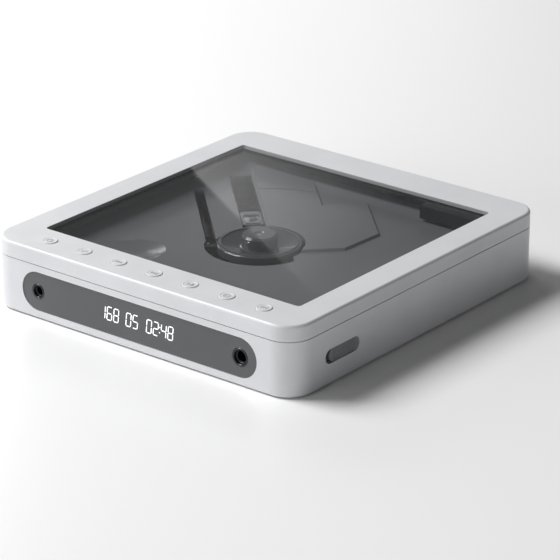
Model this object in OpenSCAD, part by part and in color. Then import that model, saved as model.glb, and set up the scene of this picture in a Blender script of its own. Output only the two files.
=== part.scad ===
// Flat disc player for a wall or a shelf, with a full-size lid hinged at the back.
// Millimetres. X runs to the right, Y to the back, Z up. The origin is the middle of the
// resting plane, under the soles of the feet.

/* [Case] */
// Width of the case, left to right
body_w = 155; // [152:1:170]
// Depth of the case, front to back
body_d = 163; // [160:1:176]
// Height from the resting plane to the top of the lid
body_h = 30; // [30:0.5:34]
// Radius of the upright corners, seen from above
corner_r = 11; // [9:0.5:13]
// Rounding of the outer edges
edge_r = 1.2; // [0.6:0.1:1.4]
// Thickness of the moulded walls
wall = 2; // [1.8:0.1:2.4]
// Height of the lid's side walls
lid_h = 6.6; // [6.4:0.1:7.4]
// Gap of the seam between lid and case
seam_gap = 0.3; // [0.2:0.05:0.5]
// How far the feet stand proud of the underside
foot_proud = 0.4; // [0.3:0.1:1]
// Radius of a foot
foot_r = 6; // [5:0.5:7]

/* [Window] */
// Width of the lid's frame at each side of the window
frame_side = 12.6; // [12:0.1:13.6]
// Width of the lid's frame in front of the window
frame_front = 19.4; // [19:0.1:20.4]
// Width of the lid's frame behind the window
frame_back = 18; // [17.4:0.1:18.6]
// Width of the window opening
window_w = body_w - 2 * frame_side; // [126:0.2:131]
// Depth of the window opening
window_d = body_d - frame_front - frame_back; // [124:0.2:127]
// Shift of the window towards the back
window_y = (frame_front - frame_back) / 2; // [0:0.1:1]
// Thickness of the clear pane
pane_t = 1.5; // [1.2:0.1:1.6]
// Gap round the pane
pane_gap = 0.25; // [0.15:0.05:0.4]
// Width of the ledge under the pane
ledge_w = 1.2; // [1:0.1:1.6]
// Thickness of the tape that holds the pane
tape_t = 0.2; // [0.1:0.05:0.3]

/* [Keys] */
// Number of keys in the row
key_n = 7; // [5:1:7]
// Radius of a key cap
key_r = 3.2; // [2.8:0.1:3.4]
// Distance from key to key
key_pitch = 18.2; // [17:0.1:19]
// Sideways shift of the row
key_x = 0.8; // [0:0.1:1]
// Distance from the front face to the row
key_inset = 10.2; // [9.4:0.1:10.6]
// Radial gap round a key
key_gap = 0.15; // [0.1:0.05:0.25]
// How far a key stands proud of the lid
key_proud = 0.3; // [0.2:0.1:0.5]
// Travel of a key
key_travel = 0.4; // [0.3:0.05:0.4]

/* [Disc well] */
// Distance of the spindle from the middle, towards the front
spindle_front = 5.5; // [5:0.1:6]
// Depth of the deck's floor below the top of the lid
deck_drop = 8.75; // [8.6:0.05:9.2]
// Thickness of the deck
deck_t = 1.6; // [1.4:0.1:1.8]
// Distance of the well's rim from the sides of the case
well_side = 10; // [9:0.5:11]
// Distance of the well's rim from the front and back of the case
well_end = 13; // [12:0.5:14]
// Width of the well between its rims
well_w = body_w - 2 * well_side; // [134:0.5:136]
// Depth of the well between its rims
well_d = body_d - 2 * well_end; // [136:0.5:138]
// Corner radius of the well
well_r = 16; // [14:0.5:18]
// Height of the curved rim above the floor
cove_h = 3.65; // [3.2:0.05:3.8]
// Width of the curved rim
cove_w = 12; // [10:0.5:13]
// Radius of the round opening for the turntable, on its open side
deck_hole_r = 22.5; // [21:0.25:23]
// Gap between the turntable and the raised cover round it
table_gap = 1.2; // [0.8:0.1:1.6]
// Height of the raised cover over the drive
island_h = 1.2; // [0.6:0.1:1.2]
// Width of the sloped edge of the raised cover
island_slope = 1; // [0.8:0.1:2.4]
// Depth of the finger scoop
scoop_depth = 2; // [1.5:0.1:2.4]
// Half the width of the finger scoop
scoop_r = 11; // [9:0.5:12]

/* [Disc drive] */
// Radius of the disc that is played
disc_r = 60; // [60:1:60]
// Height of the disc's seat above the floor of the deck
seat_h = 1.6; // [1.4:0.05:1.8]
// Outer radius of the turntable
table_r = 17.4; // [16:0.2:18]
// Radius of the hub, which centres the disc
hub_r = 7.45; // [7.4:0.01:7.48]
// Height of the hub above the disc's seat
hub_h = 3.5; // [2.8:0.1:3.8]
// Radius of the three clamping balls
ball_r = 1.4; // [1.2:0.1:1.5]
// Radius of the motor shaft
shaft_r = 1; // [0.8:0.1:1.2]
// Width of the pickup's slot
slot_w = 9.7; // [9:0.1:10.5]
// Width of the guide rod's slot
rod_slot_w = 4.3; // [3.8:0.1:4.8]
// Radius of the guide rod
rod_r = 1.5; // [1.2:0.1:1.6]
// Radius of the feed screw
screw_r = 1.2; // [1:0.1:1.4]
// Distance of the rod and of the screw from the pickup's line
rod_y = 19.1; // [18.5:0.1:19.5]
// Distance of the lens from the spindle, as shown
lens_x = 29.5; // [25:0.5:40]
// Running clearance of shafts and rods
run_gap = 0.05; // [0.03:0.01:0.08]
// Teeth of the feed screw's gear
gear_n = 20; // [18:1:20]
// Teeth of the motor's pinion
pinion_n = 10; // [10:1:12]
// Module of the gear teeth
gear_m = 0.4; // [0.35:0.05:0.4]

/* [Front panel and sockets] */
// Distance of the glossy front panel's ends from the sides of the case
panel_side = 17.5; // [15.5:0.5:22]
// Length of the glossy front panel
panel_w = body_w - 2 * panel_side; // [110:1:124]
// Height of the glossy front panel
panel_h = 16.6; // [15:0.2:17]
// Thickness of the glossy front panel
panel_t = 1; // [0.8:0.1:1]
// Depth at which the panel lies below the front face
panel_sink = 0.3; // [0.2:0.1:0.4]
// Depth of the panel's middle below the top of the lid
panel_drop = 17.9; // [17.6:0.1:18.2]
// Bore radius of the small headphone socket
small_jack_r = 1.8; // [1.75:0.01:1.85]
// Outer radius of the small socket's ring
small_ring_r = 3.2; // [3:0.1:3.4]
// Bore radius of the large headphone socket
large_jack_r = 2.25; // [2.2:0.01:2.3]
// Outer radius of the large socket's ring
large_ring_r = 3.8; // [3.6:0.1:4]

/* [Release slide] */
// Length of the slot in the right side
slide_slot_l = 21.2; // [20:0.2:22]
// Height of the slot in the right side
slide_slot_h = 6; // [5:0.2:6.4]
// Travel of the slide
slide_travel = 2.5; // [2:0.1:2.6]
// Distance of the slot's middle in front of the centre
slide_front = 51.3; // [50:0.1:52]
// Depth of the slot's middle below the top of the lid
slide_drop = 18.1; // [17.6:0.1:18.4]

/* [Hinge] */
// Distance of each hinge from the middle
hinge_x = 45; // [40:1:50]
// Radius of the hinge knuckles
knuckle_r = 1.85; // [1.7:0.05:1.9]
// Radius of the hinge pin
pin_r = 0.8; // [0.7:0.05:0.9]
// Width of the lid's knuckle
knuckle_w = 8; // [6:0.5:10]
// Width of each of the case's knuckles
ear_w = 4; // [3:0.5:5]

/* [Hidden] */
$fn = 64;

eps = 0.01;
half_w = body_w / 2;
half_d = body_d / 2;
inner_w = body_w - 2 * wall;
inner_d = body_d - 2 * wall;
inner_r = corner_r - wall;

// Heights above the resting plane
case_z = foot_proud;
floor_z = case_z + wall;
lid_z = body_h - lid_h;
case_top_z = lid_z - seam_gap;
hinge_z = lid_z - seam_gap / 2;
lid_under_z = body_h - wall;
pane_top_z = body_h - 0.1;
ledge_z = pane_top_z - pane_t - tape_t;
deck_z = body_h - deck_drop;
deck_under_z = deck_z - deck_t;
rim_z = deck_z + cove_h;
skirt_z = rim_z + 0.3;
seat_z = deck_z + seat_h;
hinge_y = half_d - 2;
hinge_rail = hinge_x + 15;

// Deck
rail_w = 3.5;
deck_fit = 0.2;
deck_back = half_d - wall - rail_w - deck_fit;
deck_front = half_d - wall - deck_fit;
lip_t = 1.5;
flange_z = case_top_z - 0.2;
cove_r = (cove_w * cove_w + cove_h * cove_h) / (2 * cove_h);

// Case screws, outside the well's rim
screw_x = half_w - wall - 4.3;
screw_ys = [-(half_d - wall - 6), 0, deck_back - 4.8];
post_r = 3;
post_top_z = 13;
screw_shank_r = 1.25;
screw_head_r = 2.4;

// Drive, in its own frame: x runs from the spindle along the pickup's travel
drive_turn = 135;
chassis_t = 1.5;
chassis_z = deck_under_z - 10.25;
chassis_top_z = chassis_z + chassis_t;
rod_z = chassis_top_z + 3.3;
motor_r = 12;
table_under_z = deck_under_z - 0.35;
ball_drop = 2.1;
sled_half = 8;
inner_bracket_x = 10;
outer_bracket_x = 69;
bracket_t = 3;
bracket_half = 2.9;
chassis_x1 = -17;
chassis_x2 = outer_bracket_x + bracket_t + 1;
chassis_half = rod_y + bracket_half;
block_x1 = -5.5;
block_x2 = 9;
block_half = 4.4;
block_top_z = deck_z - 0.9;
slot_margin = 15.5;
slot_end = well_w / sqrt(2) - slot_margin;
rod_slot_end = slot_end - 16;
outer_damper_x = slot_end - 21.5;
outer_damper_y = 26.5;
damper_xy = [[-12, 24], [-20, -18], [outer_damper_x, outer_damper_y],
             [outer_damper_x, -outer_damper_y]];
damper_r = 3.8;
damper_waist_r = 2.6;
damper_flange = 1.3;
damper_bore_r = 1.65;
gear_x = 6;
gear_w = 2.5;
pinion_r = gear_m * pinion_n / 2;
gear_r = gear_m * gear_n / 2;
pinion_y = -(rod_y + gear_r + pinion_r);
sled_motor_r = 5;
sled_motor_x = 4.5;

// Raised cover over the drive: corners along and across the pickup's line
island = [[15, 5.1], [86, 5.1], [86, 16], [70.2, 30.9], [39.4, 30.9], [39.4, 49.9],
          [4.1, 49.9], [-10.5, 33.7], [-10.5, 12]];

// Front
front_y = -half_d;
panel_z = body_h - panel_drop;
panel_back_y = front_y + panel_sink + panel_t;
jack_x = panel_w / 2 - panel_h / 2;
board_t = 1.2;
board_z = chassis_z - 3.4;
board_top_z = board_z + board_t;
board_w = body_w - 23;
board_front = half_d - wall - 1.8;
board_back = 38;
board_mid = -(board_front + board_back) / 2;
jack_l = 14;
display_w = 46;
display_h = 10;
display_t = 2.2;

// Skirt of the window's dark frame, measured outwards from the opening
skirt_out = 0.8;

// Keys, hung under the lid's top wall
key_y = front_y + key_inset;
key_board_t = 0.8;
switch_h = 0.5;
key_flange_t = 0.6;
key_dish = 0.1;
key_nub_z = lid_under_z - 0.95;
key_board_top_z = key_nub_z - key_travel - 0.05 - switch_h;
key_board_w = key_pitch * (key_n - 1) + 16;

// Lid hook and its catch
hook_x = window_w / 2 - 6.4;
hook_w = 5;
hook_t = 1.2;
hook_y = window_y - window_d / 2 + ledge_w;
hook_foot = 1.4;
hook_foot_z = deck_under_z - 3.3;
hook_foot_h = 1.2;
catch_z = hook_foot_z + hook_foot_h + 0.2;
catch_h = 1.2;
catch_reach = 1;

// Release slide
slide_y = -slide_front;
slide_z = body_h - slide_drop;
knob_l = slide_slot_l - slide_travel - 0.3;
knob_y = slide_y + slide_slot_l / 2 - 0.15 - knob_l / 2;
knob_h = slide_slot_h - 0.4;
arm_x = half_w - wall - 0.2;
shelf_z = slide_z - slide_slot_h / 2 - 1.2;

// Keyholes for wall screws
keyhole_x = half_w - 15.5;
keyhole_y = half_d - 35.5;
keyhole_head_r = 4.2;
keyhole_slot_r = 2.1;
keyhole_run = 8;
keyhole_depth = 3.2;

// Battery, and the power inlet at the back
battery_size = [32, 50, chassis_z - floor_z - 0.8];
battery_inset = [57.5, 64.5];
battery_pos = [half_w, half_d] - battery_inset;
usb_x = 5;
usb_z = 12;
usb_shell = [8.94, 3.26];
usb_wall = 0.3;
usb_l = 7.3;
usb_board_t = 1;

// A rounded rectangle, flat
module round_rect(w, d, r) {
    square([w - 2 * r, d], center = true);
    square([w, d - 2 * r], center = true);
    for (x = [-1, 1], y = [-1, 1])
        translate([x * (w / 2 - r), y * (d / 2 - r)]) circle(r);
}

// A plate with round corners, from z1 to z2
module slab(w, d, r, z1, z2) {
    translate([0, 0, z1]) linear_extrude(z2 - z1) round_rect(w, d, r);
}

// Sweeps a profile round a rounded rectangle: x runs outwards from the outline, y upwards
module rim_sweep(w, d, r) {
    for (k = [0:3]) {
        a = (k % 2 == 0 ? w : d) / 2;
        b = (k % 2 == 0 ? d : w) / 2 - r;
        rotate(90 * k) {
            translate([a, b, 0]) rotate([90, 0, 0]) linear_extrude(2 * b) children();
            translate([a - r, b, 0]) rotate_extrude(angle = 90) translate([r, 0]) children();
        }
    }
}

// A flat slot shape with round ends, lying along x
module stadium(l, h) {
    square([l - h, h], center = true);
    for (x = [-1, 1]) translate([x * (l - h) / 2, 0]) circle(h / 2);
}

// Stands a flat shape up against the front face, from y1 to y2
module facing_front(y1, y2) {
    translate([0, y2, 0]) rotate([90, 0, 0]) linear_extrude(y2 - y1) children();
}

// Stands a flat shape up against the right face, from x1 to x2
module facing_right(x1, x2) {
    translate([x1, 0, 0]) rotate([90, 0, 90]) linear_extrude(x2 - x1) children();
}

// A round bar along x, between x1 and x2
module bar_x(r, x1, x2) {
    translate([x1, 0, 0]) rotate([0, 90, 0]) cylinder(r = r, h = x2 - x1);
}

// A box between two corners
module box(low, high) {
    translate(low) cube(high - low);
}

// Places a child at every case screw
module at_case_screws() {
    for (x = [-screw_x, screw_x], y = screw_ys) translate([x, y, 0]) children();
}

// Turns and moves a child into the drive's own frame
module on_drive() {
    translate([0, -spindle_front, 0]) rotate(drive_turn) children();
}

// Places a child at every damper of the drive
module at_dampers() {
    on_drive() for (p = damper_xy) translate([p[0], p[1], 0]) children();
}

// Places a child at every foot
module at_feet() {
    for (x = [-1, 1], y = [-1, 1])
        translate([x * (half_w - 15.5), y * (half_d - 15.5), 0]) children();
}

// Groove along the back of the seam, which lets the lid swing up
module hinge_groove() {
    translate([-half_w, hinge_y, hinge_z]) rotate([90, 0, 90]) linear_extrude(body_w)
        polygon([[-0.3, 0], [6, 6.3], [6, -6.3]]);
}

// The space that a knuckle turns in
module knuckle_room(x, w) {
    translate([x, hinge_y, hinge_z]) bar_x(knuckle_r + 0.5, -w / 2 - 0.25, w / 2 + 0.25);
}

module hinge_bore(x) {
    translate([x, hinge_y, hinge_z])
        bar_x(pin_r + run_gap, -knuckle_w / 2 - ear_w - 1, knuckle_w / 2 + ear_w + 1);
}

ear_mid = (knuckle_w + ear_w) / 2 + 0.25;

module keyhole_flat() {
    circle(keyhole_head_r);
    translate([0, keyhole_run]) circle(keyhole_slot_r);
    translate([-keyhole_slot_r, 0]) square([2 * keyhole_slot_r, keyhole_run]);
}

module at_keyholes() {
    for (x = [-keyhole_x, keyhole_x]) translate([x, keyhole_y - keyhole_run / 2, 0]) children();
}

// Lower shell of the case, with its posts, hinge rail and wall-screw keyholes
module bottom_case() {
    e = edge_r;
    color("gainsboro") difference() {
        union() {
            difference() {
                union() {
                    slab(body_w, body_d, corner_r, case_z + e, case_top_z);
                    slab(body_w - 2 * e, body_d - 2 * e, corner_r - e, case_z, case_z + e);
                    translate([0, 0, case_z + e])
                        rim_sweep(body_w - 2 * e, body_d - 2 * e, corner_r - e)
                            intersection() {
                                circle(e);
                                translate([0, -e]) square(e);
                            }
                }
                slab(inner_w, inner_d, inner_r, floor_z, case_top_z + 1);
            }
            // rail that stiffens the wall at the hinges
            box([-hinge_rail, half_d - wall - rail_w, case_top_z - 6],
                [hinge_rail, half_d - wall + 0.5, case_top_z]);
            at_case_screws() translate([0, 0, floor_z - 0.5])
                cylinder(r = post_r, h = post_top_z - floor_z + 0.5);
            // rests of the main board
            for (x = [-1, 1], y = [-(board_front - 6), -(board_back + 5)])
                translate([x * (board_w / 2 - 6), y, floor_z - 0.5])
                    cylinder(r = 2.5, h = board_z - floor_z + 0.5);
            // rests of the inlet's board
            for (x = [-7, 7]) translate([usb_x + x, half_d - wall - 10, floor_z - 0.5])
                cylinder(r = 2, h = usb_z - usb_shell[1] / 2 - usb_board_t - floor_z + 0.5);
            // shelf under the latch
            box([half_w - wall - 7, slide_y - 15, floor_z - 0.5],
                [half_w - wall + 0.5, slide_y + 12, shelf_z]);
            // closed pockets over the keyholes
            at_keyholes() translate([-keyhole_head_r - 2, -keyhole_head_r - 2, floor_z - 0.5])
                cube([2 * keyhole_head_r + 4, keyhole_run + 2 * keyhole_head_r + 4,
                      keyhole_depth + 1.7]);
        }
        hinge_groove();
        for (s = [-1, 1]) {
            knuckle_room(s * hinge_x, knuckle_w);
            hinge_bore(s * hinge_x);
        }
        // recess and opening of the front panel
        translate([0, 0, panel_z]) {
            facing_front(front_y - 1, panel_back_y) stadium(panel_w, panel_h);
            facing_front(front_y - 1, front_y + wall + 1) stadium(panel_w - 3, panel_h - 3);
        }
        translate([0, slide_y, slide_z]) facing_right(half_w - wall - 1, half_w + 1)
            stadium(slide_slot_l, slide_slot_h);
        translate([usb_x, 0, usb_z]) facing_front(half_d - wall - 1, half_d + 1)
            stadium(usb_shell[0] + 0.3, usb_shell[1] + 0.3);
        at_keyholes() {
            translate([0, 0, case_z - 1]) linear_extrude(wall + 1 + eps) keyhole_flat();
            translate([-keyhole_head_r - 0.4, -keyhole_head_r - 0.4, floor_z])
                cube([2 * keyhole_head_r + 0.8, keyhole_run + 2 * keyhole_head_r + 0.8,
                      keyhole_depth]);
        }
        at_case_screws() {
            translate([0, 0, case_z - 1]) cylinder(r = screw_shank_r + 0.15, h = post_top_z + 2);
            translate([0, 0, case_z - 1]) cylinder(r = screw_head_r + 0.2, h = 2.7);
        }
        at_feet() translate([0, 0, case_z - 1]) cylinder(r = foot_r + 0.1, h = 1.8);
    }
    // knuckles of the case
    color("gainsboro") for (s = [-1, 1], t = [-1, 1])
        translate([s * hinge_x + t * ear_mid, 0, 0]) difference() {
            union() {
                translate([0, hinge_y, hinge_z]) bar_x(knuckle_r, -ear_w / 2, ear_w / 2);
                box([-ear_w / 2, hinge_y - knuckle_r, hinge_z - 5],
                    [ear_w / 2, hinge_y + 1.2, hinge_z]);
            }
            translate([0, hinge_y, hinge_z]) bar_x(pin_r + run_gap, -ear_w, ear_w);
        }
}

module rubber_feet() {
    color("dimgray") at_feet() {
        cylinder(r1 = foot_r - 0.3, r2 = foot_r, h = 0.3);
        translate([0, 0, 0.3]) cylinder(r = foot_r, h = case_z + 0.8 - 0.3);
    }
}

module case_screws() {
    color("silver") at_case_screws() translate([0, 0, case_z + 1.7 - 1.5]) difference() {
        union() {
            cylinder(r = screw_head_r, h = 1.5);
            cylinder(r = screw_shank_r, h = post_top_z - case_z + 4);
        }
        for (a = [0, 90]) rotate(a) translate([-1.4, -0.25, -1]) cube([2.8, 0.5, 1.8]);
    }
}

// Finger scoop: a shallow round trough that points at the front left corner
module scoop_tool(r_big) {
    axis_z = deck_z - scoop_depth + (scoop_r * scoop_r + scoop_depth * scoop_depth) / (2 * scoop_depth);
    on_drive() translate([0, 0, axis_z]) {
        translate([0, scoop_tip + scoop_r, 0]) sphere(r = r_big, $fn = 96);
        translate([0, scoop_tip + scoop_r, 0]) rotate([-90, 0, 0])
            cylinder(r = r_big, h = scoop_run, $fn = 96);
    }
}

// Inner end of the finger scoop, and length of its straight part, in the drive's frame
scoop_tip = 38;
scoop_run = 24;

// Sides of the turntable's wider opening, in the drive's frame
open_side_x = 5.7;
open_side_y = -12;

scoop_big_r = (scoop_r * scoop_r + scoop_depth * scoop_depth) / (2 * scoop_depth);

// Corner of a polygon moved inwards by d, where its two edges meet again
function inset_corner(p, i, d) =
    let (n = len(p), a = p[(i + n - 1) % n], b = p[i], c = p[(i + 1) % n],
         u = (b - a) / norm(b - a), v = (c - b) / norm(c - b),
         m = [-u[1], u[0]], k = [-v[1], v[0]])
    b + d * (m + k) / (1 + m * k);

// Raised cover with a sloped edge all round
module island_solid() {
    n = len(island);
    low_z = deck_under_z + 0.4;
    top = [for (i = [0:n - 1]) inset_corner(island, i, island_slope)];
    points = concat([for (p = island) [p[0], -p[1], low_z]],
                    [for (p = island) [p[0], -p[1], deck_z]],
                    [for (p = top) [p[0], -p[1], deck_z + island_h]]);
    on_drive() polyhedron(points, concat(
        [[for (i = [n - 1:-1:0]) i]],
        [[for (i = [0:n - 1]) 2 * n + i]],
        [for (i = [0:n - 1], s = [0, n])
            [s + i, s + (i + 1) % n, s + n + (i + 1) % n, s + n + i]]));
}

// Moulded deck: flat floor, curved rim, raised drive cover, finger scoop and slots
module deck() {
    color("slategray") difference() {
        union() {
            slab(well_w - 2 * cove_w, well_d - 2 * cove_w, well_r - cove_w, deck_under_z, deck_z);
            rim_sweep(well_w, well_d, well_r) difference() {
                translate([-cove_w, deck_z + cove_r]) intersection() {
                    circle(cove_r + deck_t, $fn = 128);
                    translate([0, -cove_r - deck_t]) square([cove_w + eps, deck_t + cove_h]);
                }
                translate([-cove_w, deck_z + cove_r]) circle(cove_r, $fn = 128);
            }
            difference() {
                union() {
                    translate([0, (deck_back - deck_front) / 2, 0])
                        slab(body_w - 2 * wall - 2 * deck_fit, deck_back + deck_front,
                             inner_r - deck_fit, flange_z - deck_t, flange_z);
                    slab(well_w + 2 * lip_t, well_d + 2 * lip_t, well_r + lip_t,
                         flange_z - deck_t, rim_z);
                }
                slab(well_w, well_d, well_r, flange_z - deck_t - 1, rim_z + 1);
            }
            island_solid();
            // bosses that take the case screws
            at_case_screws() translate([0, 0, post_top_z])
                cylinder(r = post_r, h = flange_z - post_top_z - 0.3);
            // bosses that carry the drive on its dampers
            at_dampers() {
                translate([0, 0, chassis_top_z + damper_flange])
                    cylinder(r = 3, h = deck_z - 0.25 - chassis_top_z - damper_flange);
                translate([0, 0, chassis_z - damper_flange])
                    cylinder(r = damper_bore_r - run_gap, h = 8);
            }
            intersection() {
                scoop_tool(scoop_big_r + deck_t);
                slab(well_w - 4, well_d - 4, well_r - 2, deck_z - scoop_depth - deck_t - 1, deck_z);
            }
        }
        translate([0, -spindle_front, deck_under_z - 1])
            cylinder(r = table_r + table_gap, h = 6, $fn = 128);
        // wider opening on the side that faces the front left corner
        on_drive() intersection() {
            translate([0, 0, deck_under_z - 1]) cylinder(r = deck_hole_r, h = 6, $fn = 128);
            box([-deck_hole_r - 1, open_side_y, deck_under_z - 2],
                [open_side_x, deck_hole_r + 1, deck_z + 4]);
        }
        on_drive() {
            box([0, -slot_w / 2, deck_under_z - 1], [slot_end, slot_w / 2, deck_z + 4]);
            box([open_side_x - 1, rod_y - rod_slot_w / 2, deck_under_z - 1],
                [rod_slot_end, rod_y + rod_slot_w / 2, deck_z + 4]);
        }
        // clearance for the disc under the front rim
        translate([0, -spindle_front, seat_z - 0.6])
            cylinder(r = disc_r + 1.5, h = cove_h, $fn = 128);
        scoop_tool(scoop_big_r);
        // slot for the lid's hook
        box([hook_x - hook_w / 2 - 1, hook_y - hook_foot - 1, deck_under_z - 1],
            [hook_x + hook_w / 2 + 1, hook_y + hook_t + 1.4, rim_z + 1]);
        // room for the lid's cable cover in the rim
        box([cover_x1 - 0.8, cover_y1 - 0.8, cover_z - 0.6],
            [window_w / 2 + 1, window_y + window_d / 2 + 1, rim_z + 1]);
        at_case_screws() translate([0, 0, post_top_z - 1])
            cylinder(r = screw_shank_r, h = flange_z - post_top_z - 1.5);
        at_dampers() translate([0, 0, chassis_z - damper_flange - 1]) cylinder(r = 0.8, h = 7);
    }
}

module hinge_pins() {
    l = knuckle_w + 2 * ear_w + 0.5;
    color("silver") for (s = [-1, 1]) translate([s * hinge_x, hinge_y, hinge_z])
        bar_x(pin_r, -l / 2, l / 2);
}

module front_panel() {
    color("dimgray") difference() {
        translate([0, 0, panel_z]) facing_front(front_y + panel_sink, panel_back_y)
            stadium(panel_w - 0.2, panel_h - 0.2);
        translate([-jack_x, front_y - 1, panel_z]) rotate([-90, 0, 0])
            cylinder(r = small_ring_r + run_gap, h = 4);
        translate([jack_x, front_y - 1, panel_z]) rotate([-90, 0, 0])
            cylinder(r = large_ring_r + run_gap, h = 4);
    }
}

module display_module() {
    color("black") box([-display_w / 2, panel_back_y, panel_z - display_h / 2],
                       [display_w / 2, panel_back_y + display_t, panel_z + display_h / 2]);
}

module display_board() {
    y = panel_back_y + display_t;
    half = jack_x - 11.7;
    color("darkgreen") box([-half, y, board_top_z], [half, y + 1, panel_z + display_h / 2 + 1]);
}

// Main circuit board with its larger components
module main_board() {
    color("darkgreen") {
        box([-board_w / 2, -board_front, board_z], [board_w / 2, -board_back, board_top_z]);
        for (c = [[-30, -4, 12, 12, 1], [4, -8, 9, 9, 0.9], [20, -2, 8, 8, 1.4]])
            translate([c[0], board_mid + c[1], board_top_z - eps]) cube([c[2], c[3], c[4] + eps]);
        for (x = [10 - board_w / 2, 16 - board_w / 2, 34, 40])
            translate([x, board_mid + 2, board_top_z - eps]) cylinder(r = 2.4, h = 1.9);
    }
}

// Socket body with a true bore, opening to the front
module jack(x, bore_r, ring_r) {
    z = panel_z;
    face_y = panel_back_y - 0.2;
    back_y = front_y + wall + jack_l;
    color("black") translate([x, 0, z]) difference() {
        union() {
            box([-ring_r - 1.2, front_y + wall + 0.2, board_top_z - z],
                [ring_r + 1.2, back_y, ring_r + 1]);
            translate([0, face_y, 0]) rotate([-90, 0, 0]) cylinder(r = ring_r - 0.4, h = 3);
        }
        translate([0, face_y - 1, 0]) rotate([-90, 0, 0])
            cylinder(r = bore_r, h = back_y - face_y - 1);
        translate([0, face_y - eps, 0]) rotate([-90, 0, 0])
            cylinder(r1 = bore_r + 0.5, r2 = bore_r, h = 0.5);
    }
}

// Metal ring that lines a socket's mouth in the panel
module jack_ring(x, bore_r, ring_r) {
    face_y = panel_back_y - 0.2;
    color("silver") translate([x, 0, panel_z]) rotate([-90, 0, 0])
        translate([0, 0, front_y + 0.1]) rotate_extrude() polygon([
            [ring_r - 0.9, 0.2], [ring_r - 0.7, 0], [ring_r - 0.2, 0], [ring_r, 0.2],
            [ring_r, face_y - front_y - 0.1], [bore_r + 0.5, face_y - front_y - 0.1]]);
}

module small_jack() { jack(-jack_x, small_jack_r, small_ring_r); }
module large_jack() { jack(jack_x, large_jack_r, large_ring_r); }
module small_jack_ring() { jack_ring(-jack_x, small_jack_r, small_ring_r); }
module large_jack_ring() { jack_ring(jack_x, large_jack_r, large_ring_r); }

module battery() {
    color("steelblue") translate([battery_pos[0], battery_pos[1], floor_z]) cube(battery_size);
}

// Power inlet: a thin oval shell with a contact tongue
module usb_inlet() {
    y = half_d - usb_l - 0.2;
    color("silver") translate([usb_x, 0, usb_z]) {
        difference() {
            facing_front(y, half_d - 0.2) stadium(usb_shell[0], usb_shell[1]);
            facing_front(y + 1, half_d) stadium(usb_shell[0] - 2 * usb_wall, usb_shell[1] - 2 * usb_wall);
        }
        box([-3.35, y + 0.5, -0.35], [3.35, half_d - 1.2, 0.35]);
    }
}

module usb_board() {
    z = usb_z - usb_shell[1] / 2;
    color("darkgreen") box([usb_x - 10, half_d - wall - 13, z - usb_board_t],
                           [usb_x + 10, half_d - wall - 0.4, z]);
}

// Chassis of the drive: plate, rod brackets and motor wall
module drive_chassis() {
    color("darkslategray") on_drive() difference() {
        union() {
            box([chassis_x1, -chassis_half, chassis_z], [chassis_x2, chassis_half, chassis_top_z]);
            box([chassis_x1, pinion_y - sled_motor_r - 1.9, chassis_z],
                [gear_x + 8, 1 - chassis_half, chassis_top_z]);
            for (p = damper_xy) translate([p[0], p[1], chassis_z])
                cylinder(r = damper_r + 2, h = chassis_t);
            // brackets for the guide rod and the feed screw
            for (x = [inner_bracket_x, outer_bracket_x], s = [-1, 1])
                box([x, s * rod_y - bracket_half, chassis_z],
                    [x + bracket_t, s * rod_y + bracket_half, rod_z + 3]);
            // wall that the sled motor is fixed to
            box([sled_motor_x, pinion_y - sled_motor_r, chassis_z],
                [sled_motor_x + 1.1, pinion_y + 4.5, rod_z + 4.5]);
        }
        // opening under the sled, and under the gears
        box([inner_bracket_x + 5, -14, chassis_z - 1], [outer_bracket_x - 3, 14, chassis_top_z + 1]);
        box([gear_x - 0.4, -rod_y - gear_r - 1.2, chassis_z - 1],
            [gear_x + gear_w + 0.5, -rod_y + gear_r + 1.2, chassis_top_z + 1]);
        box([sled_motor_x - 16, pinion_y - sled_motor_r - 0.3, chassis_z - 1],
            [sled_motor_x, pinion_y + sled_motor_r + 0.3, chassis_top_z + 1]);
        for (p = damper_xy) translate([p[0], p[1], chassis_z - 1])
            cylinder(r = damper_waist_r, h = chassis_t + 2);
        translate([0, rod_y, rod_z]) bar_x(rod_r, inner_bracket_x - 1, outer_bracket_x + bracket_t + 1);
        translate([0, -rod_y, rod_z]) bar_x(screw_r + run_gap, inner_bracket_x - 1,
                                            outer_bracket_x + bracket_t + 1);
        translate([0, pinion_y, rod_z]) bar_x(1.2, sled_motor_x - 1, sled_motor_x + 3);
        translate([0, 0, chassis_z - 1]) cylinder(r = 3, h = chassis_t + 2);
    }
}

module damper_grommets() {
    color("black") at_dampers() rotate_extrude() polygon([
        [damper_bore_r, chassis_z - damper_flange], [damper_r, chassis_z - damper_flange],
        [damper_r, chassis_z], [damper_waist_r, chassis_z],
        [damper_waist_r, chassis_top_z], [damper_r, chassis_top_z],
        [damper_r, chassis_top_z + damper_flange], [damper_bore_r, chassis_top_z + damper_flange]]);
}

module damper_screws() {
    z = chassis_z - damper_flange;
    color("silver") at_dampers() {
        translate([0, 0, z - 1]) cylinder(r = 3, h = 1);
        translate([0, 0, z - eps]) cylinder(r = 0.8, h = 5);
    }
}

module guide_rod() {
    color("silver") on_drive() translate([0, rod_y, rod_z])
        bar_x(rod_r, inner_bracket_x, outer_bracket_x + bracket_t);
}

module spindle_motor() {
    color("silver") on_drive() rotate_extrude() polygon([
        [shaft_r + run_gap, chassis_top_z], [motor_r, chassis_top_z],
        [motor_r, table_under_z - 1.6], [motor_r - 0.8, table_under_z - 0.8],
        [3, table_under_z - 0.8], [3, table_under_z - 0.3], [shaft_r + run_gap, table_under_z - 0.3]]);
}

module sled_motor() {
    color("silver") on_drive() translate([0, pinion_y, rod_z]) difference() {
        union() {
            bar_x(sled_motor_r, sled_motor_x - 15, sled_motor_x);
            bar_x(1.8, sled_motor_x - 16, sled_motor_x - 14);
        }
        bar_x(0.5 + run_gap, sled_motor_x - 8, sled_motor_x + 1);
    }
}

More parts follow.
